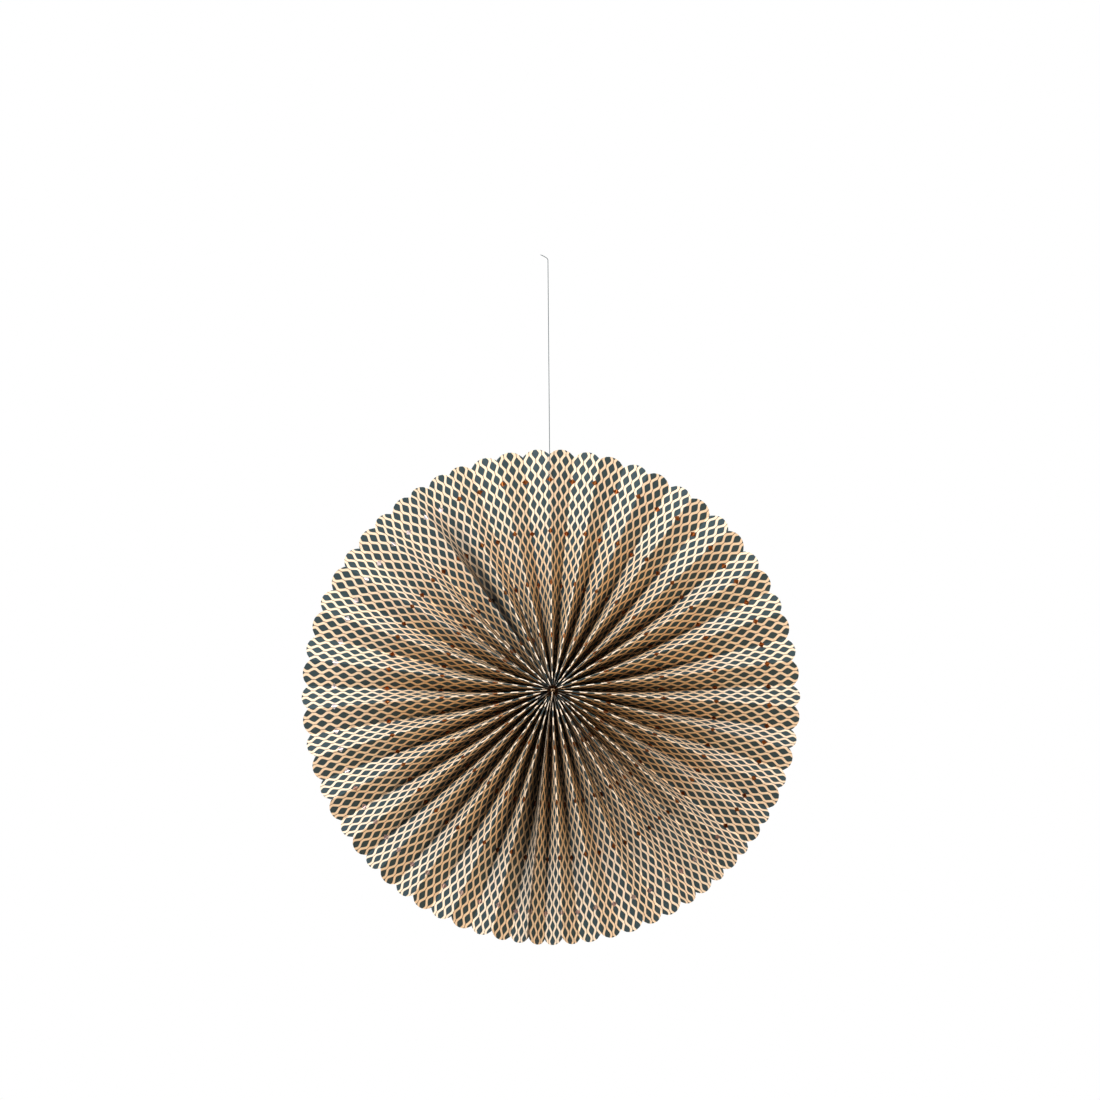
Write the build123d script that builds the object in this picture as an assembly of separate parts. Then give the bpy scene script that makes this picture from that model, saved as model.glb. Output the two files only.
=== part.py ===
from build123d import *
from math import asin, atan2, cos, exp, hypot, pi, radians, sin, sqrt, tan
import os

# A paper fan rosette, in millimetres and degrees. It hangs upright by a thread, +Z up, with
# the origin at the bend in the thread's top. Its front, where the hub stands out, faces -Y.

# The sheet: a strip of paper folded into equal panels and closed to a ring
panel_width = 22.4  # from one fold to the next, flat
panel_length = 201.0  # from the hub's centre out to the crest of a scallop
fullness_share = 1.217  # the strip's length over the way round the rim that it is spread to
sheet_thickness = 0.2
scallop_rise = 5.2  # how far a scallop's crest stands past the folds beside it
cone_angle = 8.0  # how far the ring slopes back from hub to rim
hub_air = 0.1  # between the panels, where they stand on edge round the hub
rim_waste = 2.0  # what the scallop punch takes off past the crests
stretch_count = 8  # flat stretches from hub to rim that a panel's turn is made in

# How unevenly the pleats are spread by hand, in shares of the round. Each bunch has its
# middle, its reach and how far it pushes the pleats on round the ring.
spread_swing_share = 0.0204
bunch_shares = (
    (0.222, 0.048, 0.0029),
    (0.410, 0.065, -0.0097),
    (0.550, 0.054, -0.0092),
    (0.683, 0.115, -0.0071),
    (0.864, 0.094, 0.0039),
    (0.950, 0.036, -0.0043),
)

# The gathering thread that runs round the hub, through a slit in each panel
gather_diameter = 0.8
gather_inset = 2.4  # from the panels' inner edge out to the thread's middle
gather_slit_air = 0.2  # all round the thread in each slit
gather_sides = 6  # a twisted thread pressed between panels is no smooth round

# The hanging thread, which comes out of a hole in the top ridge and has a knot behind it
thread_diameter = 0.6
thread_drop = 176.5  # from the bend at the top down to the hole
thread_tail = 6.5  # the end that is bent over at the top
thread_tail_angle = 23.0  # how steeply that end still climbs
thread_top_bend = 1.4  # the bend's radius
thread_hole_diameter = 1.4
thread_hole_inset = 22.6  # from the scallops' crest circle in to the hole
thread_standoff = 2.4  # from the ridge out to the thread's upright run
exit_bend_share = 0.45  # of the run that comes out of the hole
knot_diameter = 2.4
knot_face_diameter = 1.3
knot_length = 2.1
knot_air = 0.15  # between the knot and the paper that it bears on

# Worked out from the sizes above
slope = radians(cone_angle)
rim_radius = panel_length * cos(slope)
panel_count = 2 * round(pi * rim_radius * fullness_share / panel_width)
pitch_angle = 2 * pi / panel_count
hub_pitch = sheet_thickness + hub_air
hub_radius = hub_pitch / pitch_angle
notch_radius = (panel_length - scallop_rise) * cos(slope)
sheet_radius = (panel_length + rim_waste) * cos(slope)
hole_radius = (panel_length - thread_hole_inset) * cos(slope)
band_half_width = hub_pitch / 2  # each fold is a band this narrow, not a knife edge
skin = sheet_thickness / 2
gather_radius = hub_radius + gather_inset


def side_of(fold):
    """1 for a ridge fold, which stands forward, and -1 for a valley fold."""
    return 1 if fold % 2 == 0 else -1


def raw_angle(fold):
    """The angle of a fold at the rim, before the top ridge is turned upright."""
    turn = fold / panel_count
    shift = spread_swing_share * sin(2 * pi * turn)
    for middle, reach, push in bunch_shares:
        away = (turn - middle + 1 / 2) % 1 - 1 / 2
        shift += push * exp(-((away / reach) ** 2))
    return 2 * pi * (turn + shift)


def rim_angle(fold):
    """The angle of a fold at the rim, clockwise from the top as seen from the front."""
    return raw_angle(fold) - raw_angle(0)


def plan_point(fold, along):
    """A fold's place in the plan of the ring: along is 0 at the hub and 1 at the sheet's edge."""
    near, far = pitch_angle * fold, rim_angle(fold)
    x = hub_radius * sin(near) * (1 - along) + sheet_radius * sin(far) * along
    z = hub_radius * cos(near) * (1 - along) + sheet_radius * cos(far) * along
    return x, z


def share_along(radius):
    """How far along a fold a plan radius lies."""
    return (radius - hub_radius) / (sheet_radius - hub_radius)


def chord(fold, along):
    """The way across from a fold to the next in the plan, as a length and a direction."""
    x, z = plan_point(fold, along)
    next_x, next_z = plan_point(fold + 1, along)
    length = hypot(next_x - x, next_z - z)
    return length, (next_x - x) / length, (next_z - z) / length


def fold_height(fold, along):
    """How far a fold stands from the middle of the sheet, so that its panels keep their width."""
    across = (chord(fold - 1, along)[0] + chord(fold, along)[0]) / 2 - 2 * band_half_width
    return sqrt(panel_width**2 - across**2) / 2


def corner(fold, toward, face, along):
    """A corner of the sheet's section at a fold.

    toward is 1 on the side of the next fold and -1 on the side of the one before.
    face is 1 on the front of the sheet and -1 on its back.
    """
    panel = fold if toward > 0 else fold - 1
    length, across_x, across_z = chord(panel, along)
    rise = fold_height(panel, along) + fold_height(panel + 1, along)
    turn = atan2(rise, length - 2 * band_half_width)
    outward = 1 if face == side_of(fold) else -1
    offset = toward * (band_half_width + outward * skin * tan(turn / 2))
    x, z = plan_point(fold, along)
    depth = hypot(x, z) * tan(slope) - side_of(fold) * fold_height(fold, along) - face * skin
    return Vector(x + offset * across_x, hub_front + depth, hub_level + z + offset * across_z)


def flat(*points):
    """A flat face with these corners."""
    return Face(Wire.make_polygon(points, close=True))


def ruled(first, second):
    """The surface between two pairs of points, straight across from one to the other."""
    return Face.make_surface_from_curves(Edge.make_line(*first), Edge.make_line(*second))


def panel_facets(near_start, near_end, far_start, far_end, ridge_first):
    """A stretch of panel as two flat facets, bent along the line from valley in to ridge out."""
    if ridge_first:
        return [flat(near_start, near_end, far_start), flat(near_end, far_end, far_start)]
    return [flat(near_start, near_end, far_end), flat(near_start, far_end, far_start)]


def make_blank():
    """The folded ring before its rim is punched, closed to one solid.

    Paper bends only along straight lines, so each panel turns from on edge at the hub to its
    slope at the rim by equal small steps, one for each stretch between two stations.
    """
    twist = asin(sheet_radius * pitch_angle / panel_width)
    stations = [sin(step * twist / stretch_count) / sin(twist) for step in range(stretch_count + 1)]
    faces = []
    for fold in range(panel_count):
        ridge_first = side_of(fold) > 0
        for face in (-1, 1):
            before = [corner(fold, -1, face, along) for along in stations]
            here = [corner(fold, 1, face, along) for along in stations]
            after = [corner(fold + 1, -1, face, along) for along in stations]
            for near, far in zip(range(stretch_count), range(1, stretch_count + 1)):
                faces.append(ruled((before[near], before[far]), (here[near], here[far])))
                faces += panel_facets(here[near], after[near], here[far], after[far], ridge_first)
        for along in (stations[0], stations[-1]):
            for start, end in (((fold, -1), (fold, 1)), ((fold, 1), (fold + 1, -1))):
                front, back = (
                    (corner(*start, face, along), corner(*end, face, along)) for face in (1, -1)
                )
                faces.append(ruled(front, back))
    return Solid(Shell(Face.sew_faces(faces)[0]))


def make_scallop_punch():
    """The space that the ring keeps: inside one arc for each panel's end."""
    arcs = []
    for fold in range(panel_count):
        start, end = rim_angle(fold), rim_angle(fold + 1)
        middle = (start + end) / 2
        places = ((notch_radius, start), (rim_radius, middle), (notch_radius, end))
        points = [
            Vector(radius * sin(angle), 0, hub_level + radius * cos(angle))
            for radius, angle in places
        ]
        arcs.append(Edge.make_three_point_arc(*points))
    outline = Face(Wire(arcs))
    reach = sheet_radius * tan(slope) + 2 * panel_width
    front = outline.moved(Location((0, hub_front - panel_width, 0)))
    return Solid.extrude(front, Vector(0, reach, 0))


def make_gather_thread():
    """A ring of thread round the hub, in the middle of the panels' depth, with six flat sides."""
    section = Pos(gather_radius, 0) * RegularPolygon(gather_diameter / 2, gather_sides)
    return Pos(0, gather_front, hub_level) * revolve(section, Axis.Y)


def make_slit_punch():
    """The space of the slits that the gathering thread runs through, flat across each panel."""
    reach = gather_diameter / 2 + gather_slit_air
    outer = RegularPolygon(gather_radius + reach, panel_count)
    inner = RegularPolygon(gather_radius - reach, panel_count)
    across_hub = Plane(origin=(0, gather_front, hub_level), x_dir=(1, 0, 0), z_dir=(0, 1, 0))
    return extrude(across_hub * (outer - inner), reach, both=True)


def make_pleated_sheet():
    """The whole sheet: folded, scalloped, and pierced for both threads."""
    sheet = (make_blank() & make_scallop_punch()) - make_slit_punch()
    hole = Solid.make_cylinder(
        thread_hole_diameter / 2,
        knot_face() + knot_length,
        Plane(origin=(0, 0, -thread_drop), x_dir=(1, 0, 0), z_dir=(0, 1, 0)),
    )
    return sheet - hole


def knot_face():
    """How far behind the thread's upright run the knot's front face lies, inside the ridge."""
    along = share_along(hole_radius)
    across = chord(0, along)[0] - 2 * band_half_width
    turn = atan2(2 * fold_height(0, along), across)
    return thread_standoff + 2 * skin + (knot_face_diameter / 2) * tan(turn) + knot_air


def make_hanging_thread():
    """The thread from the knot's face, out of the hole, up to the bend and its short end."""
    tail = radians(thread_tail_angle)
    start = knot_face()
    route = (
        (0, start, -thread_drop),
        (0, 0, -thread_drop),
        (0, 0, 0),
        (-thread_tail * cos(tail), 0, thread_tail * sin(tail)),
    )
    radii = (exit_bend_share * start, thread_top_bend)
    print("thread bends", [round(radius, 2) for radius in radii])
    path = FilletPolyline(*route, radius=radii)
    section = Plane(origin=route[0], z_dir=(0, -1, 0)) * Circle(thread_diameter / 2)
    thread = sweep(section, path=path)
    expected = pi * thread_diameter**2 / 4 * path.length
    print("thread length", round(path.length, 1), "volume over section x length",
          round(thread.volume / expected, 4))
    return thread


def make_thread_knot():
    """The stopper knot behind the top ridge: a short barrel, widest in its middle."""
    profile = Polyline(
        (0, 0),
        (knot_face_diameter / 2, 0),
        (knot_diameter / 2, knot_length / 3),
        (knot_diameter / 2, knot_length * 2 / 3),
        (knot_face_diameter / 2, knot_length),
        (0, knot_length),
        close=True,
    )
    return Pos(0, knot_face(), -thread_drop) * revolve(make_face(profile), Axis.Y)


# The ring hangs so that its top ridge stands just behind the thread
top_share = share_along(hole_radius)
hub_level = -thread_drop - hole_radius
hub_front = thread_standoff + skin + fold_height(0, top_share) - hole_radius * tan(slope)
gather_front = hub_front + gather_radius * tan(slope)

os.makedirs("parts", exist_ok=True)
export_step(make_pleated_sheet(), "parts/pleated_sheet.step")
export_step(make_gather_thread(), "parts/gather_thread.step")
export_step(make_hanging_thread(), "parts/hanging_thread.step")
export_step(make_thread_knot(), "parts/thread_knot.step")
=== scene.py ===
"""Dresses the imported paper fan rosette: its printed, pleated paper and its threads.

Lengths are in metres and angles in radians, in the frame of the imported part: +Z is up, the
origin is the bend at the top of the hanging thread, and the fan's front faces -Y.
"""

import logging
import random
from collections.abc import Callable, Sequence
from dataclasses import dataclass
from enum import Enum
from math import atan2, cos, dist, exp, hypot, pi, radians, sin, sqrt, tan

import bmesh
import bpy
from mathutils import Matrix, Vector

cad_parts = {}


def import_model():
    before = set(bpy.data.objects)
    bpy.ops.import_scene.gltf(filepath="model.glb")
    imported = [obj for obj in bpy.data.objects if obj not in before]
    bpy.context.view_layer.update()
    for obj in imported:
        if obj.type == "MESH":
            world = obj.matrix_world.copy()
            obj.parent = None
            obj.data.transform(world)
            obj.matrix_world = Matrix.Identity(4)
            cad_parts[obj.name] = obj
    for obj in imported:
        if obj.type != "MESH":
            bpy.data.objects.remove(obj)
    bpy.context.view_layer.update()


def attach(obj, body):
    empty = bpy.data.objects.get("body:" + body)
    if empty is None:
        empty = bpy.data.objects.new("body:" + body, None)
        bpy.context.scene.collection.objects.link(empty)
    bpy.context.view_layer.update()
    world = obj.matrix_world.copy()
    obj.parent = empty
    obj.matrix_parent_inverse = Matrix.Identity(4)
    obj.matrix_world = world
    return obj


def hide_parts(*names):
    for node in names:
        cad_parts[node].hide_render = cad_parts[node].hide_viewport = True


LOG = logging.getLogger("paper_fan_rosette")
STRIP_MAP = "strip"
MIX_FACTOR, MIX_FIRST, MIX_SECOND, MIX_RESULT = 0, 6, 7, 2  # a color Mix node's sockets


class Slot(Enum):
    """Names of two material slots: the paper's and the thread's."""

    PAPER = "paper"
    THREAD = "thread"


class Value:
    """A socket that changes over a surface. Its operators add Math nodes."""

    def __init__(self, recipe: "Recipe", socket: bpy.types.NodeSocket) -> None:
        """Keeps the socket and the recipe that new nodes go into."""
        self.recipe = recipe
        self.socket = socket

    def _math(self, operation: str, *operands: "Number", clamp: bool = False) -> "Value":
        """Adds one Math node.

        Args:
            operation: the Math node's operation.
            operands: its inputs, in order.
            clamp: whether the result is kept between 0 and 1.

        Returns:
            The node's result.
        """
        settings = {"operation": operation, "use_clamp": clamp}
        return self.recipe.node("ShaderNodeMath", settings, dict(enumerate(operands)))

    def __add__(self, other: "Number") -> "Value":
        """self + other."""
        return self._math("ADD", self, other)

    __radd__ = __add__

    def __sub__(self, other: "Number") -> "Value":
        """self - other."""
        return self._math("SUBTRACT", self, other)

    def __rsub__(self, other: "Number") -> "Value":
        """other - self."""
        return self._math("SUBTRACT", other, self)

    def __mul__(self, other: "Number") -> "Value":
        """self * other."""
        return self._math("MULTIPLY", self, other)

    __rmul__ = __mul__

    def __truediv__(self, other: "Number") -> "Value":
        """self / other."""
        return self._math("DIVIDE", self, other)

    def __pow__(self, exponent: "Number") -> "Value":
        """self ** exponent."""
        return self._math("POWER", self, exponent)

    def __abs__(self) -> "Value":
        """The size of the value without its sign."""
        return self._math("ABSOLUTE", self)

    def floor(self) -> "Value":
        """The whole number below."""
        return self._math("FLOOR", self)

    def fraction(self) -> "Value":
        """What is left above the whole number below."""
        return self._math("FRACT", self)

    def sine(self) -> "Value":
        """The sine of the value, in radians."""
        return self._math("SINE", self)

    def at_least(self, other: "Number") -> "Value":
        """The larger of the two."""
        return self._math("MAXIMUM", self, other)

    def clamped(self) -> "Value":
        """The value kept between 0 and 1."""
        return self._math("ADD", self, 0.0, clamp=True)

    def from_nearest_whole(self) -> "Value":
        """How far the value is from the nearest whole number, with its sign."""
        return (self + 0.5).fraction() - 0.5

    def edge(self, softness: float) -> "Value":
        """A mask that is 1 where the value is above zero, with a soft edge.

        Args:
            softness: the width of the edge, in the value's own units.

        Returns:
            The mask, from 0 to 1.
        """
        return (self / softness + 0.5).clamped()


Number = Value | float
Color = tuple[float, float, float, float]
WHITE: Color = (1.0, 1.0, 1.0, 1.0)


@dataclass(frozen=True)
class StripPlace:
    """A place on the paper strip: in panels along it, and in metres from the hub out."""

    along: Value
    outward: Value


def chance(seeds: Sequence[float], *counts: Value) -> Value:
    """A value that looks random, but is fixed by whole counts.

    Args:
        seeds: a number for each count, and a last one that scatters their sum.
        counts: the counts.

    Returns:
        The value, from 0 to 1.
    """
    total = counts[0] * seeds[0]
    for count, seed in zip(counts[1:], seeds[1:]):
        total = total + count * seed
    return (total.sine() * seeds[-1]).fraction()


class Recipe:
    """The node tree of a material or a world, filled by Python expressions."""

    def __init__(self, owner: bpy.types.Material | bpy.types.World) -> None:
        """Empties the owner's tree.

        Args:
            owner: the material or the world that the tree belongs to.
        """
        owner.use_nodes = True
        self.owner = owner
        self.tree = owner.node_tree
        self.tree.nodes.clear()

    @classmethod
    def for_material(cls, name: str) -> "Recipe":
        """Starts the recipe of a new material of this name."""
        return cls(bpy.data.materials.new(name))

    def add(
        self,
        kind: str,
        settings: dict[str, object] | None = None,
        sockets: dict[str | int, object] | None = None,
    ) -> bpy.types.Node:
        """Adds one node: its settings first, then the values or links of its sockets.

        Args:
            kind: the node's type.
            settings: its properties.
            sockets: a value or a link for each input that is set, by name or place.

        Returns:
            The node.
        """
        node = self.tree.nodes.new(kind)
        for name, setting in (settings or {}).items():
            setattr(node, name, setting)
        for key, value in (sockets or {}).items():
            if isinstance(value, Value):
                self.tree.links.new(value.socket, node.inputs[key])
            else:
                node.inputs[key].default_value = value
        return node

    def node(
        self,
        kind: str,
        settings: dict[str, object] | None = None,
        sockets: dict[str | int, object] | None = None,
        output: str | int = 0,
    ) -> Value:
        """Adds one node, as add does, and gives one of its outputs, by name or place."""
        return Value(self, self.add(kind, settings, sockets).outputs[output])

    def mix(self, factor: Number, first: object, second: object) -> Value:
        """Goes from the first color to the second as the factor goes from 0 to 1."""
        sockets = {MIX_FACTOR: factor, MIX_FIRST: first, MIX_SECOND: second}
        return self.node("ShaderNodeMix", {"data_type": "RGBA"}, sockets, MIX_RESULT)

    def object_place(self) -> Value:
        """The place on the piece, in metres."""
        return self.node("ShaderNodeTexCoord", output="Object")

    def strip_place(self) -> StripPlace:
        """Reads the strip's own map.

        Returns:
            The place on the strip.
        """
        place = self.node("ShaderNodeUVMap", {"uv_map": STRIP_MAP})
        split = self.add("ShaderNodeSeparateXYZ", {}, {"Vector": place})
        return StripPlace(Value(self, split.outputs["X"]), Value(self, split.outputs["Y"]))

    def noise(self, place: Value, scale: float, detail: float = 2.0) -> Value:
        """A cloudy value from 0 to 1.

        Args:
            place: the vector that it is read at.
            scale: how many clouds there are to a metre.
            detail: how many finer layers it has.

        Returns:
            The value.
        """
        sockets = {"Vector": place, "Scale": scale, "Detail": detail}
        return self.node("ShaderNodeTexNoise", {}, sockets)

    def bump(self, height: Value, strength: float, distance: float) -> Value:
        """A surface normal that follows a height.

        Args:
            height: the height, from 0 to 1.
            strength: how much of the slope shows.
            distance: the height of 1, in metres.

        Returns:
            The normal.
        """
        sockets = {"Height": height, "Strength": strength, "Distance": distance}
        return self.node("ShaderNodeBump", {}, sockets)

    def finish(self, sockets: dict[str, object]) -> bpy.types.Material:
        """Ends the tree in a Principled shader.

        Args:
            sockets: the shader's own sockets.

        Returns:
            The material.
        """
        shader = self.node("ShaderNodeBsdfPrincipled", {}, sockets)
        self.add("ShaderNodeOutputMaterial", {}, {"Surface": shader})
        return self.owner


@dataclass(frozen=True)
class PlainPaper:
    """The unprinted cream back of the paper and its cut edges."""

    cream: Color = (0.81, 0.655, 0.490, 1.0)
    shade: Color = (0.77, 0.595, 0.415, 1.0)
    cloud_scale: float = 60.0
    cloud_detail: float = 4.0
    fibre_scale: float = 2600.0
    fibre_detail: float = 3.0
    fibre_height: float = 0.00003
    fibre_strength: float = 0.35
    roughness: float = 0.80
    specular_level: float = 0.15

    def ground(self, recipe: Recipe, place: Value) -> Value:
        """The paper's own color, a little cloudy."""
        clouds = recipe.noise(place, self.cloud_scale, self.cloud_detail)
        return recipe.mix(clouds, self.cream, self.shade)

    def fibre_bump(self, recipe: Recipe, place: Value) -> Value:
        """The paper's tooth, as a normal."""
        fibres = recipe.noise(place, self.fibre_scale, self.fibre_detail)
        return recipe.bump(fibres, self.fibre_strength, self.fibre_height)

    def material(self) -> bpy.types.Material:
        """Makes the material of the back and the edges.

        Returns:
            The material.
        """
        recipe = Recipe.for_material("plain_paper")
        place = recipe.object_place()
        return recipe.finish(
            {
                "Base Color": self.ground(recipe, place),
                "Roughness": self.roughness,
                "Specular IOR Level": self.specular_level,
                "Normal": self.fibre_bump(recipe, place),
            }
        )


@dataclass(frozen=True)
class PrintedPaper:
    """The printed front: slate lozenges between cream waves and copper foil at the folds, with
    painted shade and highlights.
    """

    plain: PlainPaper = PlainPaper()
    slate: Color = (0.021, 0.038, 0.043, 1.0)
    slate_worn: Color = (0.042, 0.066, 0.073, 1.0)
    line: Color = (0.12, 0.055, 0.035, 1.0)
    # Painted highlight on the folds near the hub, paler than the paper itself.
    fold_highlight: Color = (0.94, 0.88, 0.78, 1.0)
    # Painted warm shade on the bare paper deep below the ridges.
    warm_shade: Color = (0.72, 0.40, 0.13, 1.0)
    # Near-black painted shade for the valleys, steep panels, sunk ridges and the seam.
    painted_shadow: Color = (0.012, 0.009, 0.007, 1.0)
    foil: Color = (0.24, 0.075, 0.018, 1.0)
    foil_dark: Color = (0.10, 0.026, 0.007, 1.0)
    # Painted reflection that makes some foil diamonds pale.
    foil_glint: Color = (0.70, 0.62, 0.61, 1.0)
    column_count: float = 4.22  # to a panel
    column_start: float = 0.18
    row_length: float = 0.01196
    row_start: float = 0.443
    lozenge_half_width: float = 0.575  # of a column
    lozenge_half_length: float = 0.350  # of a row
    lozenge_bulge: float = 1.10  # over 1 bows the sides outward
    lozenge_round: float = 0.060  # rounds the two side corners
    line_half_width: float = 0.055  # of a column
    line_strength: float = 0.9
    print_softness: float = 0.05
    wear_scale: float = 900.0
    wear_detail: float = 3.0
    panel_width: float = 0.0224
    foil_ring_spacing: float = 0.0432
    foil_ring_start: float = 0.0027
    foil_half_width: float = 0.0034
    foil_half_length: float = 0.0023
    foil_softness: float = 0.06
    foil_slip: float = 0.0011  # how far a diamond lies off its place
    slip_across_seeds: tuple[float, ...] = (12.9, 78.2, 437.5)  # for chance, as all seeds are
    slip_along_seeds: tuple[float, ...] = (39.3, 11.1, 271.9)
    foil_roughness: float = 0.30
    patch_scale: float = 500.0  # the foil's darker patches
    patch_contrast: float = 3.0
    # Painted reflection on the foil: the diamonds of one ring, round one place along the strip
    # and more faintly near the seam.
    glint_ring: float = 4.0  # counted from the hub
    glint_middle: float = 20.0  # panels from the free edge
    glint_reach: float = 7.5
    mauve_glint_reach: float = 12.0  # panels to either side of the seam
    mauve_glint_share: float = 0.45
    # The painted highlight on the folds near the hub:
    fold_highlight_half_width: float = 0.00080
    fold_highlight_reach: float = 0.110  # from the hub out
    fold_highlight_softness: float = 0.5  # at the free edge, where no fold is
    fold_highlight_least: float = 0.4
    warm_shade_strength: float = 0.85  # how strong the painted warm shade grows down from a ridge
    warm_shade_depth: float = 0.0075
    warm_shade_reach: float = 0.140  # from the hub out
    warm_shade_fade_power: float = 0.5
    valley_shade: float = 0.88  # how dark the painted shade gets: in the valleys at the hub, on steep panels, sunk ridges and at the seam
    valley_start: float = 0.0040  # from a ridge down
    valley_depth: float = 0.0110
    valley_reach: float = 0.135
    valley_fade_power: float = 0.8
    valley_unevenness: float = 0.45
    valley_seeds: tuple[float, ...] = (7.7, 91.3)
    round_panels: float = 68.0
    side_light: float = 0.48  # how much less shade is painted in the valleys at the fan's two sides
    low_reach: float = 0.038  # how much further out the painted valley shade reaches at the fan's bottom
    steep_panels: tuple[tuple[float, float], ...] = (
        (26.5, 1.0),
        (27.0, 1.0),
        (0.6, 0.8),
        (1.5, 0.8),
    )  # painted shadow on panels that stand nearly on edge: each one's place along the strip, and how dark it is there
    steep_half_width: float = 0.45  # of a panel
    steep_softness: float = 0.25
    steep_reach: float = 0.180
    steep_fade: float = 0.090
    seam_place: float = 68.02  # a painted shadow line on the strip's covered end, beside its free edge
    seam_half_width: float = 0.042
    seam_softness: float = 0.02
    sunk_start: float = 0.0035  # painted shade on ridges that sink at the hub: where the first ridge comes up between its neighbours
    sunk_spread: float = 0.0150
    sunk_softness: float = 0.005
    ridge_seeds: tuple[float, ...] = (3.1, 57.9)
    ink_roughness: float = 0.62

    def _column_width(self, row: Value) -> Value:
        """Half the inked width of a column at a row, as a share of a column.

        Args:
            row: the place along the column, in rows, with a whole number at each lozenge.

        Returns:
            The half width, which is 0 between two lozenges.
        """
        off = row.from_nearest_whole()
        off = (off * off + self.lozenge_round**2) ** 0.5 - self.lozenge_round
        profile = 1.0 - (off / self.lozenge_half_length) ** self.lozenge_bulge
        return profile.at_least(0.0) * self.lozenge_half_width

    def _ink(self, spot: StripPlace) -> tuple[Value, Value]:
        """Where the slate lozenges and the thin lines between their tips are.

        Args:
            spot: the place on the strip.

        Returns:
            The two masks.
        """
        column = spot.along * self.column_count + self.column_start
        into_gap = column.fraction()
        stagger = (column.floor() * 0.5).fraction()
        row = spot.outward / self.row_length + self.row_start + stagger + 0.5
        left = self._column_width(row) - into_gap
        right = self._column_width(row + 0.5) - (1.0 - into_gap)
        lozenges = left.at_least(right).edge(self.print_softness)
        from_column = abs(column.from_nearest_whole())
        lines = (self.line_half_width - from_column).edge(self.print_softness)
        return lozenges, lines

    def _foil(self, spot: StripPlace) -> tuple[Value, Value]:
        """Where the foil diamonds are, and which of them get a painted reflection.

        Args:
            spot: the place on the strip.

        Returns:
            The mask of the diamonds, one at each fold in rings round the fan, each a little off
            its place, and the mask of the painted reflection, which makes some of them pale.
        """
        fold = (spot.along + 0.5).floor()
        ring = (spot.outward - self.foil_ring_start) / self.foil_ring_spacing
        count = (ring + 0.5).floor()
        slip_across = (chance(self.slip_across_seeds, fold, count) - 0.5) * self.foil_slip
        slip_along = (chance(self.slip_along_seeds, fold, count) - 0.5) * self.foil_slip
        off_fold = (spot.along - fold) * self.panel_width + slip_across
        off_ring = (ring - count) * self.foil_ring_spacing + slip_along
        across = abs(off_fold) / self.foil_half_width
        along = abs(off_ring) / self.foil_half_length
        diamonds = (1.0 - across - along).edge(self.foil_softness)
        # The painted reflection: one ring, round one place along the strip, and more faintly near
        # the seam.
        in_ring = (0.5 - abs(count - self.glint_ring)).edge(self.foil_softness)
        in_reach = (self.glint_reach - abs(fold - self.glint_middle)).edge(1.0)
        half_round = self.round_panels / 2
        low = (abs(fold - half_round) + (self.mauve_glint_reach - half_round)).edge(1.0)
        return diamonds, in_ring * in_reach.at_least(low * self.mauve_glint_share)

    def _fold_highlights(self, spot: StripPlace, wear_and_highlight_noise: Value) -> Value:
        """Where a highlight is painted on the folds, paler than the paper itself: mostly near the
        hub.

        Args:
            spot: the place on the strip.
            wear_and_highlight_noise: a cloudy value that breaks the painted highlights up.

        Returns:
            The mask.
        """
        off_fold = abs(spot.along.from_nearest_whole()) * self.panel_width
        near_hub = (1.0 - spot.outward / self.fold_highlight_reach).clamped()
        near_hub = near_hub * spot.along.edge(self.fold_highlight_softness)
        on_fold = (1.0 - off_fold / self.fold_highlight_half_width).clamped()
        return on_fold * near_hub * (wear_and_highlight_noise + self.fold_highlight_least)

    def _depth(self, spot: StripPlace) -> Value:
        """How far down the paper a place is from the nearest ridge, at an even panel count."""
        return abs((spot.along * 0.5).from_nearest_whole()) * (2.0 * self.panel_width)

    def _painted_warm_shade(self, spot: StripPlace) -> Value:
        """How much warm shade is painted on the bare paper: the more, the deeper it lies and the
        nearer the hub.

        Args:
            spot: the place on the strip.

        Returns:
            The mask.
        """
        warm_shade = (self._depth(spot) / self.warm_shade_depth).clamped() * self.warm_shade_strength
        return warm_shade * (1.0 - spot.outward / self.warm_shade_reach).clamped() ** self.warm_shade_fade_power

    def _painted_valley_shade(self, spot: StripPlace) -> Value:
        """How much shade is painted in the valleys: each a little differently, less at the fan's
        two sides, and further out at its bottom.

        Args:
            spot: the place on the strip.

        Returns:
            The mask.
        """
        uneven = chance(self.valley_seeds, (spot.along * 0.5).floor()) * self.valley_unevenness
        around = spot.along * (2 * pi / self.round_panels)
        at_sides = 0.5 - (around * 2.0 + pi / 2).sine() * 0.5
        shade = 1.0 - uneven - at_sides * self.side_light
        depth = (self._depth(spot) - self.valley_start) / self.valley_depth
        reach = (around + pi / 2).sine() * self.low_reach + self.valley_reach
        near_hub = (1.0 - spot.outward / reach).clamped() ** self.valley_fade_power
        return depth.clamped() * shade * near_hub

    def _painted_shade(self, spot: StripPlace) -> Value:
        """Where near-black shade is painted: in the valleys, on steep panels, on sunk ridges, and
        as a shadow line at the seam.

        Args:
            spot: the place on the strip.

        Returns:
            The mask.
        """
        dark = self._painted_valley_shade(spot)
        # Painted shadow on the panels that stand nearly on edge.
        for middle, shade in self.steep_panels:
            inside = self.steep_half_width - abs(spot.along - middle)
            reached = ((self.steep_reach - spot.outward) / self.steep_fade).clamped() * shade
            dark = dark.at_least(inside.edge(self.steep_softness) * reached)
        # Painted shade on the ridges that sink between their neighbours at the hub.
        ridge = (spot.along * 0.5 + 0.5).floor()
        sunk_to = chance(self.ridge_seeds, ridge) * self.sunk_spread + self.sunk_start
        sunk = ((sunk_to - spot.outward) / self.sunk_softness).clamped()
        # A painted shadow line at the seam, beside the free edge.
        seam = self.seam_half_width - abs(spot.along - self.seam_place)
        dark = dark.at_least(sunk).at_least(seam.edge(self.seam_softness))
        return dark * self.valley_shade

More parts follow.
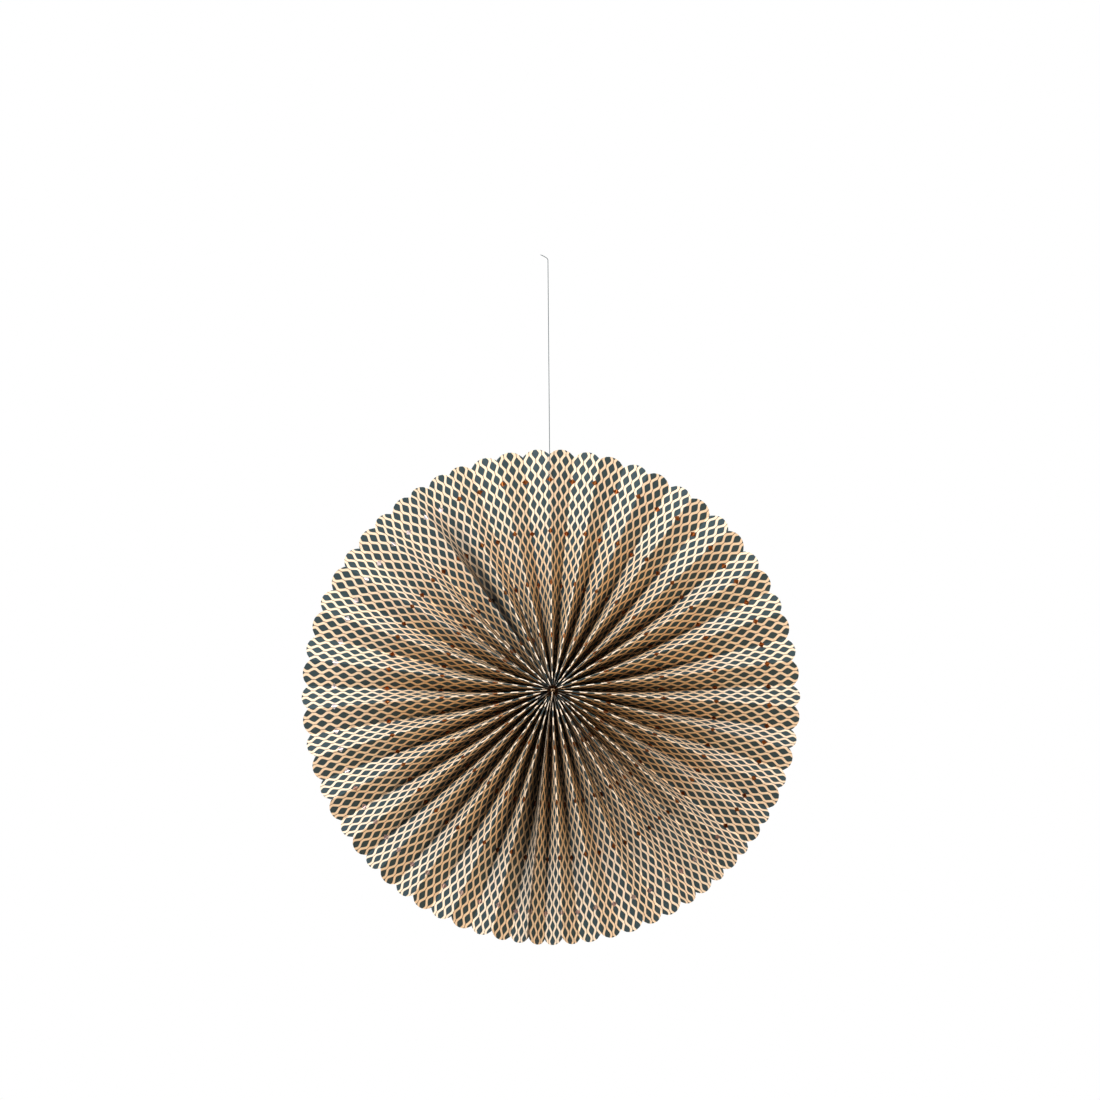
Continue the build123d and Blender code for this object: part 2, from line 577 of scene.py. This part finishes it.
    def material(self) -> bpy.types.Material:
        """Makes the material of the printed front.

        Returns:
            The material.
        """
        recipe = Recipe.for_material("printed_paper")
        place = recipe.object_place()
        spot = recipe.strip_place()
        lozenges, lines = self._ink(spot)
        foil, pale = self._foil(spot)
        # A cloudy value: the slate's worn tone, and the breaks in the painted fold highlights.
        wear_and_highlight_noise = recipe.noise(place, self.wear_scale, self.wear_detail)
        slate = recipe.mix(wear_and_highlight_noise, self.slate, self.slate_worn)
        # Painted warm shade: the bare paper turns orange deep below the ridges, near the hub.
        warm_shade = self._painted_warm_shade(spot)
        color = recipe.mix(warm_shade, self.plain.ground(recipe, place), self.warm_shade)
        color = recipe.mix(lines * self.line_strength, color, self.line)
        # Painted highlight on the folds near the hub.
        color = recipe.mix(self._fold_highlights(spot, wear_and_highlight_noise), color, self.fold_highlight)
        color = recipe.mix(lozenges, color, slate)
        patches = (recipe.noise(place, self.patch_scale) * self.patch_contrast - 1.0).clamped()
        copper = recipe.mix(patches, self.foil, self.foil_dark)
        # Painted reflection: some foil diamonds turn pale.
        copper = recipe.mix(pale, copper, self.foil_glint)
        color = recipe.mix(foil, color, copper)
        # Painted shade: near black in the valleys, on steep panels and sunk ridges, and at the
        # seam.
        color = recipe.mix(self._painted_shade(spot), color, self.painted_shadow)
        roughness = self.plain.roughness - lozenges * (self.plain.roughness - self.ink_roughness)
        roughness = roughness * (1.0 - foil) + foil * self.foil_roughness
        return recipe.finish(
            {
                "Base Color": color,
                "Metallic": foil,
                "Roughness": roughness,
                "Specular IOR Level": self.plain.specular_level,
                "Normal": self.plain.fibre_bump(recipe, place),
            }
        )


@dataclass(frozen=True)
class TwistedCotton:
    """Dark dyed cotton thread."""

    name: str
    dark: Color = (0.010, 0.026, 0.030, 1.0)
    light: Color = (0.032, 0.062, 0.068, 1.0)
    fibre_scale: float = 5200.0
    fibre_detail: float = 3.0
    fibre_height: float = 0.00004
    fibre_strength: float = 0.6
    roughness: float = 0.85
    sheen: float = 0.08

    def material(self) -> bpy.types.Material:
        """Makes the material.

        Returns:
            The material.
        """
        recipe = Recipe.for_material(self.name)
        fibres = recipe.noise(recipe.object_place(), self.fibre_scale, self.fibre_detail)
        return recipe.finish(
            {
                "Base Color": recipe.mix(fibres, self.dark, self.light),
                "Roughness": self.roughness,
                "Sheen Weight": self.sheen,
                "Normal": recipe.bump(fibres, self.fibre_strength, self.fibre_height),
            }
        )


def new_piece(
    name: str,
    bm: bmesh.types.BMesh,
    materials: Sequence[bpy.types.Material],
    slot: Slot,
    nodes: Sequence[str],
) -> bpy.types.Object:
    """Turns a bmesh into a piece that rides on the fan and stands for CAD nodes.

    Args:
        name: the piece's name.
        bm: its mesh, which is freed.
        materials: its materials.
        slot: a material slot; not used.
        nodes: the CAD nodes that it replaces.

    Returns:
        The piece.
    """
    mesh = bpy.data.meshes.new(name)
    bm.to_mesh(mesh)
    bm.free()
    for material in materials:
        mesh.materials.append(material)
    piece = bpy.data.objects.new(name, mesh)
    bpy.context.scene.collection.objects.link(piece)
    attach(piece, "root")
    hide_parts(*nodes)
    return piece


def add_surface(
    bm: bmesh.types.BMesh, columns: int, rows: int, place: Callable[[int, int], Vector]
) -> list[bmesh.types.BMVert]:
    """Adds a grid and moves each of its corners to its place.

    Args:
        bm: the mesh that the grid goes into.
        columns: how many cells the grid has one way.
        rows: how many it has the other way.
        place: gives the place of a corner from its column and row.

    Returns:
        The grid's corners.
    """
    grid = bmesh.ops.create_grid(bm, x_segments=columns, y_segments=rows, size=0.5)
    for vert in grid["verts"]:
        column = round((vert.co.x + 0.5) * columns)
        row = round((vert.co.y + 0.5) * rows)
        vert.co = place(column, row)
    return grid["verts"]


def line_length(line: Sequence[Vector]) -> float:
    """The length of a line through these points."""
    return sum((b - a).length for a, b in zip(line, line[1:]))


@dataclass
class PleatedSheet:
    """One strip of paper, pleated and spread to a round that stands forward at its hub.

    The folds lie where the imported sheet's do. A strip place is counted in panels from the
    strip's free edge, which lies on the ridge at seam_fold.
    """

    panel_count: int = 68
    panel_width: float = 0.0224
    panel_length: float = 0.201
    scallop_rise: float = 0.0052
    cone_angle: float = radians(8.0)
    hub_pitch: float = 0.0003
    rim_waste: float = 0.002
    hole_inset: float = 0.0226
    thread_drop: float = 0.1765
    thread_standoff: float = 0.0024
    skin: float = 0.0001
    spread_swing_share: float = 0.0204
    bunch_shares: tuple[tuple[float, float, float], ...] = (
        (0.222, 0.048, 0.0029),
        (0.410, 0.065, -0.0097),
        (0.550, 0.054, -0.0092),
        (0.683, 0.115, -0.0071),
        (0.864, 0.094, 0.0039),
        (0.950, 0.036, -0.0043),
    )
    seam_fold: int = 36
    lap_panels: int = 1
    lap_gap: float = 0.0003
    free_edge_inset: float = 0.0009
    free_edge_lift: float = 0.0010
    paper_thickness: float = 0.00012
    eye_radius: float = 0.0009
    fold_radius: float = 0.00040
    fold_share: float = 0.34  # the most of a panel's run that a fold's rounding takes
    facing_step: float = 0.01  # how far out the paper is looked at to find where it faces
    bulge: float = 0.00045
    row_count: int = 30
    row_power: float = 1.35
    hole_half_size: float = 0.0006
    hole_clear_halves: float = 3.0  # how far the other rows keep from the hole, in half holes
    cell_shares: tuple[float, ...] = (
        0.0, 0.013, 0.027, 0.042, 0.2, 0.35, 0.5, 0.65, 0.8, 0.958, 0.973, 0.987,
    )
    hub_dip: float = 0.0060
    hub_dip_reach: float = 0.016
    hub_sway: float = 0.0005
    hub_sway_radius: float = 0.025
    fold_shift: float = 0.0008  # how far a fold wanders sideways between hub and rim
    pinches: tuple[tuple[int, float], ...] = ((62, 0.0019), (36, 0.0012), (45, 0.0008))
    seed: int = 7

    def __post_init__(self) -> None:
        """Works out the radii and draws what differs from fold to fold."""
        draw = random.Random(self.seed).uniform
        self.strip_panels = self.panel_count + self.lap_panels
        folds = range(self.panel_count)
        self.bulges = [draw(-self.bulge, self.bulge) for _ in range(self.strip_panels)]
        self.dips = [draw(0.0, self.hub_dip) for _ in folds]
        self.sways = [draw(-self.hub_sway, self.hub_sway) for _ in folds]
        self.shifts = [draw(-self.fold_shift, self.fold_shift) for _ in folds]
        for panel, pinch in self.pinches:
            self.shifts[panel] += pinch
            self.shifts[panel + 1] -= pinch
        slope = cos(self.cone_angle)
        self.pitch_angle = 2 * pi / self.panel_count
        self.hub_radius = self.hub_pitch / self.pitch_angle
        self.sheet_radius = (self.panel_length + self.rim_waste) * slope
        self.notch_radius = (self.panel_length - self.scallop_rise) * slope
        self.rim_radius = self.panel_length * slope
        self.hole_radius = (self.panel_length - self.hole_inset) * slope
        self.hub_level = -self.thread_drop - self.hole_radius
        self.hub_front = (
            self.thread_standoff
            + self.skin
            + self.fold_height(0, self.share_along(self.hole_radius))
            - self.hole_radius * tan(self.cone_angle)
        )

    def _raw_angle(self, fold: int) -> float:
        """The angle of a fold at the rim, before the top ridge is turned upright.

        Args:
            fold: the fold, counted clockwise from the top.

        Returns:
            The angle.
        """
        turn = fold / self.panel_count
        shift = self.spread_swing_share * sin(2 * pi * turn)
        for middle, reach, push in self.bunch_shares:
            away = (turn - middle + 1 / 2) % 1 - 1 / 2
            shift += push * exp(-((away / reach) ** 2))
        return 2 * pi * (turn + shift)

    def rim_angle(self, fold: int) -> float:
        """The angle of a fold at the rim, clockwise from the top as seen from the front."""
        return self._raw_angle(fold) - self._raw_angle(0)

    def share_along(self, radius: float) -> float:
        """How far along a fold a plan radius lies: 0 at the hub and 1 at the sheet's edge."""
        return (radius - self.hub_radius) / (self.sheet_radius - self.hub_radius)

    def _plan_point(self, fold: int, along: float) -> tuple[float, float]:
        """A fold's place in the plan of the ring, from the hub's centre.

        Args:
            fold: the fold, counted clockwise from the top.
            along: how far out it is, from 0 at the hub to 1 at the sheet's edge.

        Returns:
            The place, rightward and upward.
        """
        near, far = self.pitch_angle * fold, self.rim_angle(fold)
        inner, outer = self.hub_radius * (1 - along), self.sheet_radius * along
        reach = max(outer, 0.0) / self.hub_sway_radius
        sway = self.sways[fold % self.panel_count] * reach * exp(1 - reach)
        sway += self.shifts[fold % self.panel_count] * sin(pi * min(max(along, 0.0), 1.0))
        x = inner * sin(near) + outer * sin(far) + sway * cos(far)
        return x, inner * cos(near) + outer * cos(far) - sway * sin(far)

    def _chord(self, fold: int, along: float) -> float:
        """The distance in plan from a fold to the next."""
        return dist(self._plan_point(fold, along), self._plan_point(fold + 1, along))

    def fold_height(self, fold: int, along: float) -> float:
        """How far a fold stands from the middle of the sheet."""
        chords = (self._chord(fold - 1, along) + self._chord(fold, along)) / 2
        return sqrt(self.panel_width**2 - (chords - self.hub_pitch) ** 2) / 2

    def fold_point(self, fold: int, along: float) -> Vector:
        """A place on a fold line.

        Args:
            fold: the fold, counted clockwise from the top.
            along: how far out it is, from 0 at the hub to 1 at the sheet's edge.

        Returns:
            The place, in the part's frame.
        """
        x, z = self._plan_point(fold, along)
        side = 1 if fold % 2 == 0 else -1
        radius = hypot(x, z)
        height = self.fold_height(fold, along)
        height -= self.dips[fold % self.panel_count] * exp(-((radius / self.hub_dip_reach) ** 2))
        depth = radius * tan(self.cone_angle) - side * height
        return Vector((x, self.hub_front + depth, self.hub_level + z))

    def _rounded(self, across: float, run: float, rise: float) -> tuple[float, float]:
        """How far a place on a panel has come from its first fold, with both folds rounded.

        Args:
            across: the share of the panel's width from its first fold.
            run: how far the panel reaches in plan, from fold to fold.
            rise: how far it reaches in depth.

        Returns:
            The share of the run, and the share of the rise.
        """
        steepness = atan2(rise, run)
        radius = min(self.fold_radius, self.fold_share * run / sin(steepness))
        bend = radius * steepness / self.panel_width
        nearer = min(across, 1 - across)
        turned = steepness * min(nearer / bend, 1.0)
        over, down = radius * sin(turned) / run, radius * (1 - cos(turned)) / rise
        if nearer > bend:
            flat = (nearer - bend) / (0.5 - bend)
            over, down = over + (0.5 - over) * flat, down + (0.5 - down) * flat
        return (over, down) if across <= 0.5 else (1 - over, 1 - down)

    def _scallop_radius(self, fold: int, across: float) -> float:
        """The plan radius of the cut edge, as a fold's would be there.

        Args:
            fold: the panel's first fold.
            across: the share of the panel's width from that fold.

        Returns:
            The radius.
        """
        half_angle = (self.rim_angle(fold + 1) - self.rim_angle(fold)) / 2
        half_chord = self.notch_radius * sin(half_angle)
        rise = self.rim_radius - self.notch_radius * cos(half_angle)
        arc_radius = (half_chord**2 + rise**2) / (2 * rise)
        offset = (2 * across - 1) * half_chord
        bow = sqrt(arc_radius**2 - offset**2) - (arc_radius - rise)
        return self.notch_radius + bow / cos(half_angle)

    def strip_point(self, place: float, share: float) -> tuple[Vector, float]:
        """A point of the sheet.

        Args:
            place: the place along the strip, in panels from its free edge.
            share: how far it lies from the hub's eye, 0, to the cut edge, 1.

        Returns:
            The point, and its distance from the hub's centre along the paper.
        """
        panel = min(int(place), self.strip_panels - 1)
        across = place - panel
        fold = self.seam_fold + panel
        inner = self.share_along(self.eye_radius)
        outer = self.share_along(self._scallop_radius(fold, across))
        along = inner + (outer - inner) * share
        start, end = self.fold_point(fold, along), self.fold_point(fold + 1, along)
        run = hypot(end.x - start.x, end.z - start.z)
        over, down = self._rounded(across, run, abs(end.y - start.y))
        point = start.lerp(end, over)
        point.y = start.y + (end.y - start.y) * down
        step_out = self.fold_point(fold, along + self.facing_step) - start
        facing = (end - start).cross(step_out).normalized()
        freedom = max(along, 0.0) ** 2
        offset = self.bulges[panel] * sin(pi * across) * freedom
        if panel == 0:
            offset += self.free_edge_lift * (1 - across) ** 3 * freedom
        if panel >= self.panel_count:
            offset -= self.lap_gap
        radius = self.hub_radius + (self.sheet_radius - self.hub_radius) * along
        return point + facing * offset, radius / cos(self.cone_angle)

    def _columns(self) -> list[float]:
        """The places along the strip that the mesh's columns stand at.

        Returns:
            The places, in panels.
        """
        panels = range(self.strip_panels)
        start = self.free_edge_inset / self.panel_width
        places = [panel + share for panel in panels for share in self.cell_shares]
        inside = [place for place in places if place > start]
        return [start, *inside, float(self.strip_panels)]

    def _rows(self) -> list[float]:
        """The places from the eye to the cut edge that the mesh's rows stand at.

        Returns:
            The places, as shares of the way.
        """
        rows = [(row / self.row_count) ** self.row_power for row in range(self.row_count + 1)]
        inner, notch = self.share_along(self.eye_radius), self.share_along(self.notch_radius)
        hole = (self.share_along(self.hole_radius) - inner) / (notch - inner)
        half = self.hole_half_size / self.panel_length
        clear = [row for row in rows if abs(row - hole) > self.hole_clear_halves * half]
        return sorted(clear + [hole - half, hole + half])

    def build(self) -> bpy.types.Object:
        """Builds the sheet with its thickness, its seam and its thread hole.

        Returns:
            The sheet.
        """
        bm = bmesh.new()
        columns, rows = self._columns(), self._rows()
        strip_map = bm.loops.layers.uv.new(STRIP_MAP)
        spots: dict[bmesh.types.BMVert, tuple[float, float]] = {}

        def place(column: int, row: int) -> Vector:
            """The place of a corner of the grid."""
            return Vector((columns[column], rows[row], 0.0))

        for vert in add_surface(bm, len(columns) - 1, len(rows) - 1, place):
            point, outward = self.strip_point(vert.co.x, vert.co.y)
            spots[vert] = (vert.co.x, outward)
            vert.co = point
        for face in bm.faces:
            face.smooth = True
            for loop in face.loops:
                loop[strip_map].uv = spots[loop.vert]
        self._pierce(bm, spots)
        for edge in bm.edges:
            edge.smooth = not edge.is_boundary
        if sum(face.normal.y for face in bm.faces) > 0:
            bmesh.ops.reverse_faces(bm, faces=bm.faces)
        finishes = (PrintedPaper().material(), PlainPaper().material())
        sheet = new_piece("paper_sheet", bm, finishes, Slot.PAPER, ["pleated_sheet"])
        wall = sheet.modifiers.new("paper_thickness", "SOLIDIFY")
        wall.thickness = self.paper_thickness
        wall.offset = -1.0
        wall.material_offset = 1
        wall.material_offset_rim = 1
        return sheet

    def _pierce(
        self, bm: bmesh.types.BMesh, spots: dict[bmesh.types.BMVert, tuple[float, float]]
    ) -> None:
        """Opens the hole for the thread on the top ridge.

        Args:
            bm: the sheet's mesh.
            spots: each corner's place along the strip and its distance from the hub.
        """
        ridge = self.panel_count - self.seam_fold
        level = self.panel_length - self.hole_inset
        reach = self.cell_shares[2] + self.cell_shares[1] / 2
        gone = []
        for face in bm.faces:
            places = [spots[vert] for vert in face.verts]
            along = sum(spot[0] for spot in places) / len(places)
            outward = sum(spot[1] for spot in places) / len(places)
            if abs(along - ridge) < reach and abs(outward - level) < self.hole_half_size:
                gone.append(face)
        bmesh.ops.delete(bm, geom=gone, context="FACES")


@dataclass
class TwistedThread:
    """A thread of plies laid round each other along a line."""

    diameter: float
    plies: int = 3
    sides: int = 6
    lay_diameters: float = 4.5
    rings_per_lay: int = 10
    ply_swell: float = 1.18  # how much thicker the plies are than round ones side by side
    weld_share: float = 0.01  # of a ply's radius, for closing its tube

    def _frames(self, line: Sequence[Vector]) -> list[tuple[Vector, Vector, Vector]]:
        """Evenly spaced places along a line, each with two directions across it.

        Args:
            line: the points of the line.

        Returns:
            A (place, side, other side) for each ring of a ply.
        """
        spacing = self.diameter * self.lay_diameters / self.rings_per_lay
        length = line_length(line)
        count = max(2, round(length / spacing))
        places, walked, leg = [], 0.0, 0
        for step in range(count + 1):
            target = length * step / count
            while leg < len(line) - 2 and walked + (line[leg + 1] - line[leg]).length < target:
                walked += (line[leg + 1] - line[leg]).length
                leg += 1
            run = line[leg + 1] - line[leg]
            places.append(line[leg] + run.normalized() * (target - walked))
        frames = []
        ahead = (places[1] - places[0]).normalized()
        side = ahead.orthogonal().normalized()
        for index, spot in enumerate(places):
            before, after = places[max(index - 1, 0)], places[min(index + 1, count)]
            heading = (after - before).normalized()
            side = ahead.rotation_difference(heading) @ side
            ahead = heading
            frames.append((spot, side.normalized(), heading.cross(side).normalized()))
        return frames

    def lay(self, bm: bmesh.types.BMesh, line: Sequence[Vector]) -> None:
        """Adds the thread's plies along a line.

        Args:
            bm: the mesh that they go into.
            line: the points of the line.
        """
        ply_radius = self.diameter / 2 / (1 + 1 / sin(pi / self.plies)) * self.ply_swell
        lay_radius = self.diameter / 2 - ply_radius
        frames = self._frames(line)
        for ply in range(self.plies):

            def place(column: int, row: int, ply: int = ply) -> Vector:
                """The place of a corner of the ply's tube.

                Args:
                    column: how far the corner is round the ply, in sides.
                    row: how far along the thread, in rings.
                    ply: which of the plies.

                Returns:
                    The place.
                """
                spot, side, other = frames[row]
                turn = 2 * pi * (ply / self.plies + row / self.rings_per_lay)
                middle = spot + (side * cos(turn) + other * sin(turn)) * lay_radius
                around = 2 * pi * column / self.sides
                return middle + (side * cos(around) + other * sin(around)) * ply_radius

            verts = add_surface(bm, self.sides, len(frames) - 1, place)
            bmesh.ops.remove_doubles(bm, verts=verts, dist=ply_radius * self.weld_share)
        ends = [edge for edge in bm.edges if edge.is_boundary]
        bmesh.ops.holes_fill(bm, edges=ends)
        bmesh.ops.recalc_face_normals(bm, faces=bm.faces)
        for face in bm.faces:
            face.smooth = len(face.verts) <= 4


@dataclass
class Threads:
    """The thread that the fan hangs on, its knot, and the thread that gathers the hub."""

    sheet: PleatedSheet
    diameter: float = 0.0006
    tail: float = 0.0065
    tail_angle: float = radians(23.0)
    knot_face_diameter: float = 0.0013
    knot_air: float = 0.00015
    knot_diameter: float = 0.0024
    knot_length: float = 0.0021
    knot_tail: float = 0.004
    knot_lay_diameters: float = 4.0
    straight_from_corner: float = 0.0036
    spline_steps: int = 48
    gather_diameter: float = 0.0008
    gather_inset: float = 0.0024
    gather_plies: int = 2
    loop_points: int = 96

    def knot_face(self) -> float:
        """Works out where the knot bears on the paper, inside the ridge.

        Returns:
            How far behind the thread's upright run the knot's front face lies.
        """
        sheet = self.sheet
        rise = 2 * sheet.fold_height(0, sheet.share_along(sheet.hole_radius))
        lean = rise / sqrt(sheet.panel_width**2 - rise**2)
        bearing = self.knot_face_diameter / 2 * lean
        return sheet.thread_standoff + 2 * sheet.skin + bearing + self.knot_air

    def route(self) -> list[Vector]:
        """The hanging thread's route: out of the hole, up, and over into its short end.

        Returns:
            Its points.
        """
        start, foot = self.knot_face(), -self.sheet.thread_drop
        return [
            Vector((0, start, foot)),
            Vector((0, 0, foot)),
            Vector((0, 0, foot + self.straight_from_corner)),
            Vector((0, 0, -self.straight_from_corner)),
            Vector((0, 0, 0)),
            Vector((-self.tail * cos(self.tail_angle), 0, self.tail * sin(self.tail_angle))),
        ]

    def _loop(self, point: Callable[[float], Vector]) -> list[Vector]:
        """A closed line of points, each given by the turn that it stands at."""
        turns = [2 * pi * step / self.loop_points for step in range(self.loop_points + 1)]
        return [point(turn) for turn in turns]

    def _smooth_line(self, name: str, points: Sequence[Vector]) -> list[Vector]:
        """Reads the smooth line of a NURBS spline.

        Args:
            name: the name of the curve.
            points: the spline's control points.

        Returns:
            The points of its line.
        """
        curve = bpy.data.curves.new(name, "CURVE")
        curve.dimensions = "3D"
        curve.resolution_u = self.spline_steps
        spline = curve.splines.new("NURBS")
        spline.points.add(len(points) - 1)
        for control, point in zip(spline.points, points):
            control.co = (*point, 1.0)
        spline.order_u = 3
        spline.use_endpoint_u = True
        carrier = bpy.data.objects.new(name, curve)
        mesh = bpy.data.meshes.new_from_object(carrier)
        line = [vert.co.copy() for vert in mesh.vertices]
        bpy.data.objects.remove(carrier)
        bpy.data.curves.remove(curve)
        bpy.data.meshes.remove(mesh)
        return line

    def build_knot(self) -> bpy.types.Object:
        """Builds the stopper knot: a thread tied in three loops, with its cut end.

        Returns:
            The knot.
        """
        radius = (self.knot_diameter - self.diameter) / 2
        depth = (self.knot_length - self.diameter) / 2
        middle = Vector((0, self.knot_face() + self.knot_length / 2, -self.sheet.thread_drop))

        def tied(turn: float) -> Vector:
            """A point of the three loops, which pass over and under each other."""
            x, z = sin(turn) + 2 * sin(2 * turn), cos(turn) - 2 * cos(2 * turn)
            return middle + Vector((radius * (x / 3), -depth * sin(3 * turn), radius * (z / 3)))

        bm = bmesh.new()
        looped = TwistedThread(self.diameter, lay_diameters=self.knot_lay_diameters)
        looped.lay(bm, self._loop(tied))
        drop = Vector((self.diameter, self.knot_tail, -self.knot_tail / 2))
        end = [middle, middle + drop / 2, middle + drop]
        TwistedThread(self.diameter).lay(bm, self._smooth_line("knot_end", end))
        material = TwistedCotton("knot_cotton").material()
        return new_piece("stopper_knot", bm, [material], Slot.THREAD, ["thread_knot"])

    def build_hanging(self) -> bpy.types.Object:
        """Builds the hanging thread.


        Returns:
            The thread.
        """
        line = self._smooth_line("thread_route", self.route())
        bm = bmesh.new()
        TwistedThread(self.diameter).lay(bm, line)
        material = TwistedCotton("thread_cotton").material()
        thread = new_piece("hanging_cotton", bm, [material], Slot.THREAD, ["hanging_thread"])
        tuple(line[0])
        line_length(line)
        [tuple(point) for point in line]
        return thread

    def build_gather(self) -> bpy.types.Object:
        """Builds the ring of thread that runs through the panels round the hub.

        Returns:
            The ring.
        """
        sheet = self.sheet
        radius = sheet.hub_radius + self.gather_inset
        front = sheet.hub_front + radius * tan(sheet.cone_angle)

        def on_ring(turn: float) -> Vector:
            """A point of the ring."""
            return Vector((radius * sin(turn), front, sheet.hub_level + radius * cos(turn)))

        bm = bmesh.new()
        TwistedThread(self.gather_diameter, self.gather_plies).lay(bm, self._loop(on_ring))
        material = TwistedCotton("gather_cotton").material()
        return new_piece("gather_cotton", bm, [material], Slot.THREAD, ["gather_thread"])


@dataclass(frozen=True)
class Lamp:
    """A soft square lamp that faces the fan."""

    name: str
    place: tuple[float, float, float]
    size: float
    power: float
    color: tuple[float, float, float]


@dataclass
class Studio:
    """The floor, the white surroundings, the lamps and the camera."""

    fan_level: float = -0.353
    floor_level: float = -2.8
    floor_size: float = 12.0
    floor_cells: int = 4
    floor_color: Color = (0.90, 0.90, 0.89, 1.0)
    floor_glow: float = 0.75  # how much of the floor's look comes from its own pale color
    surround_strength: float = 0.21
    surround_color: Color = (1.0, 0.70, 0.40, 1.0)
    camera_distance: float = 4.5
    camera_azimuth: float = radians(1.87)
    camera_elevation: float = radians(-8.0)
    camera_roll: float = radians(0.5)
    aim_x: float = -0.0009
    aim_z: float = -0.2397
    frame_width: float = 0.8756
    sensor_width: float = 36.0
    camera_reach: float = 50.0
    lamps: tuple[Lamp, ...] = (
        Lamp("key", (-1.2, -2.4, 1.3), 0.6, 154.0, (0.88, 0.93, 1.0)),
        Lamp("fill", (1.8, -2.4, -1.7), 0.9, 50.0, (1.0, 0.73, 0.47)),
        Lamp("back", (1.2, 2.4, 0.8), 1.6, 74.0, (0.88, 0.95, 1.0)),
    )

    def build_floor(self) -> bpy.types.Object:
        """Builds the pale floor under the hanging fan.

        Returns:
            The floor.
        """
        bm = bmesh.new()
        cells = {"x_segments": self.floor_cells, "y_segments": self.floor_cells}
        bmesh.ops.create_grid(bm, size=self.floor_size / 2, **cells)
        bmesh.ops.translate(bm, vec=(0, 0, self.floor_level), verts=bm.verts)
        mesh = bpy.data.meshes.new("floor")
        bm.to_mesh(mesh)
        bm.free()
        mesh.materials.append(self._floor_material())
        floor = bpy.data.objects.new("floor", mesh)
        bpy.context.scene.collection.objects.link(floor)
        return floor

    def _floor_material(self) -> bpy.types.Material:
        """Makes the floor pale to the camera, with the fan's shadow still on it.

        Returns:
            The material.
        """
        recipe = Recipe.for_material("pale_floor")
        seen = recipe.node("ShaderNodeLightPath", output="Is Camera Ray") * self.floor_glow
        matt = recipe.node("ShaderNodeBsdfDiffuse", {}, {"Color": self.floor_color})
        glow = recipe.node("ShaderNodeEmission", {}, {"Color": self.floor_color, "Strength": 1.0})
        mixed = recipe.node("ShaderNodeMixShader", {}, {0: seen, 1: matt, 2: glow})
        recipe.add("ShaderNodeOutputMaterial", {}, {"Surface": mixed})
        return recipe.owner

    def build_surround(self) -> None:
        """Sets the world: white to the camera and in reflections, softer as a light."""
        world = bpy.data.worlds.new("white_surround")
        bpy.context.scene.world = world
        recipe = Recipe(world)
        rays = [
            recipe.node("ShaderNodeLightPath", output=f"Is {kind} Ray")
            for kind in ("Camera", "Glossy", "Transmission")
        ]
        seen = rays[0].at_least(rays[1]).at_least(rays[2])
        white = recipe.node("ShaderNodeBackground", {}, {"Color": WHITE, "Strength": 1.0})
        light = {"Color": self.surround_color, "Strength": self.surround_strength}
        soft = recipe.node("ShaderNodeBackground", {}, light)
        mixed = recipe.node("ShaderNodeMixShader", {}, {0: seen, 1: soft, 2: white})
        recipe.add("ShaderNodeOutputWorld", {}, {"Surface": mixed})

    @staticmethod
    def _aimed(place: Vector, target: Vector, roll: float = 0.0) -> Matrix:
        """A placement that looks from a place to a target.

        Args:
            place: where it stands.
            target: what it looks at.
            roll: how far it is turned about its line of sight.

        Returns:
            The world matrix.
        """
        turn = (target - place).to_track_quat("-Z", "Y").to_matrix().to_4x4()
        return Matrix.Translation(place) @ turn @ Matrix.Rotation(roll, 4, "Z")

    def build_lamps(self) -> None:
        """Adds the lamps: a key at the upper left, a warm fill low down, and one at the back."""
        middle = Vector((0, 0, self.fan_level))
        for lamp in self.lamps:
            light = bpy.data.lights.new(lamp.name, "AREA")
            light.shape = "SQUARE"
            light.size = lamp.size
            light.energy = lamp.power
            light.color = lamp.color
            carrier = bpy.data.objects.new(lamp.name, light)
            carrier.matrix_world = self._aimed(Vector(lamp.place), middle)
            bpy.context.scene.collection.objects.link(carrier)

    def build_camera(self, depth: float) -> None:
        """Adds the camera at the photograph's viewing angle.

        Args:
            depth: the Y of the point that it aims at.
        """
        camera = bpy.data.cameras.new("photo_camera")
        camera.sensor_width = self.sensor_width
        camera.lens = self.sensor_width * self.camera_distance / self.frame_width
        camera.clip_end = self.camera_reach
        aim = Vector((self.aim_x, depth, self.aim_z))
        level = cos(self.camera_elevation)
        across, ahead = sin(self.camera_azimuth) * level, cos(self.camera_azimuth) * level
        heading = Vector((across, ahead, -sin(self.camera_elevation)))
        carrier = bpy.data.objects.new("photo_camera", camera)
        place = aim - heading * self.camera_distance
        carrier.matrix_world = self._aimed(place, aim, -self.camera_roll)
        bpy.context.scene.collection.objects.link(carrier)
        bpy.context.scene.camera = carrier


def report(piece: bpy.types.Object) -> None:
    """Logs a piece's name and how many faces it has."""
    LOG.info("%s: %d faces", piece.name, len(piece.data.polygons))


def main() -> None:
    """Builds the fan's pieces in order, then the studio round them."""
    logging.basicConfig(level=logging.INFO, format="%(message)s")
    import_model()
    bpy.context.scene.view_settings.view_transform = "Standard"
    sheet = PleatedSheet()
    report(sheet.build())
    threads = Threads(sheet)
    knot = threads.build_knot()
    report(knot)
    report(threads.build_hanging())
    report(threads.build_gather())
    studio = Studio()
    studio.build_floor()
    studio.build_surround()
    studio.build_lamps()
    studio.build_camera(sheet.hub_front)


if __name__ == "__main__":
    main()
